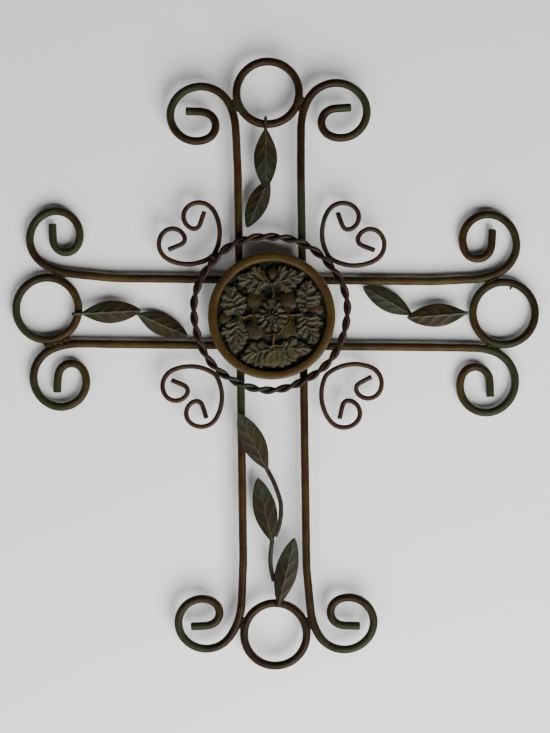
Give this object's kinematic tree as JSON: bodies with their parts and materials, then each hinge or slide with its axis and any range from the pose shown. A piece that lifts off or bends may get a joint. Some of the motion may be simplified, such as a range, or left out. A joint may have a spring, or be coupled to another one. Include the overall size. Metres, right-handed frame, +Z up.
{
  "type": "wall cross",
  "caption": "Wrought iron wall cross of bent bar with scrolled ends, end rings, heart scrolls, a twisted ring, a relief medallion and leaves.",
  "frame": {"origin": "the hang point: the highest point inside the top ring, where a nail or hook bears", "axes": "+Z up, +X to the right for someone facing the cross, -Y towards the room, the wall on the +Y side"},
  "size_m": [0.438, 0.0227, 0.5066],
  "materials": {
    "upright_paint": "satin rust-brown paint with green patina",
    "crossbar_paint": "satin orange-brown paint over near-black brown",
    "scroll_paint": "satin maroon-brown paint",
    "twist_paint": "satin dark maroon paint",
    "medallion_paint": "cast relief, grey-green and tan over dark green, ochre rim",
    "leaf_paint": "satin grey-green and brown paint, worn on the veins"
  },
  "bodies": {
    "root": {"heart_scroll_lower_left": "scroll_paint", "heart_scroll_lower_right": "scroll_paint", "heart_scroll_upper_left": "scroll_paint", "heart_scroll_upper_right": "scroll_paint", "horizontal_rod_lower": "crossbar_paint", "horizontal_rod_upper": "crossbar_paint", "leaf_bottom_high": "leaf_paint", "leaf_bottom_low": "leaf_paint", "leaf_bottom_middle": "leaf_paint", "leaf_left_inner": "leaf_paint", "leaf_left_outer": "leaf_paint", "leaf_right_inner": "leaf_paint", "leaf_right_outer": "leaf_paint", "leaf_top_inner": "leaf_paint", "leaf_top_outer": "leaf_paint", "medallion": "medallion_paint", "ring_bottom": "upright_paint", "ring_left": "crossbar_paint", "ring_right": "crossbar_paint", "ring_top": "upright_paint", "twisted_ring_strand_a": "twist_paint", "twisted_ring_strand_b": "twist_paint", "vertical_rod_left": "upright_paint", "vertical_rod_right": "upright_paint"}
  },
  "joints": []
}
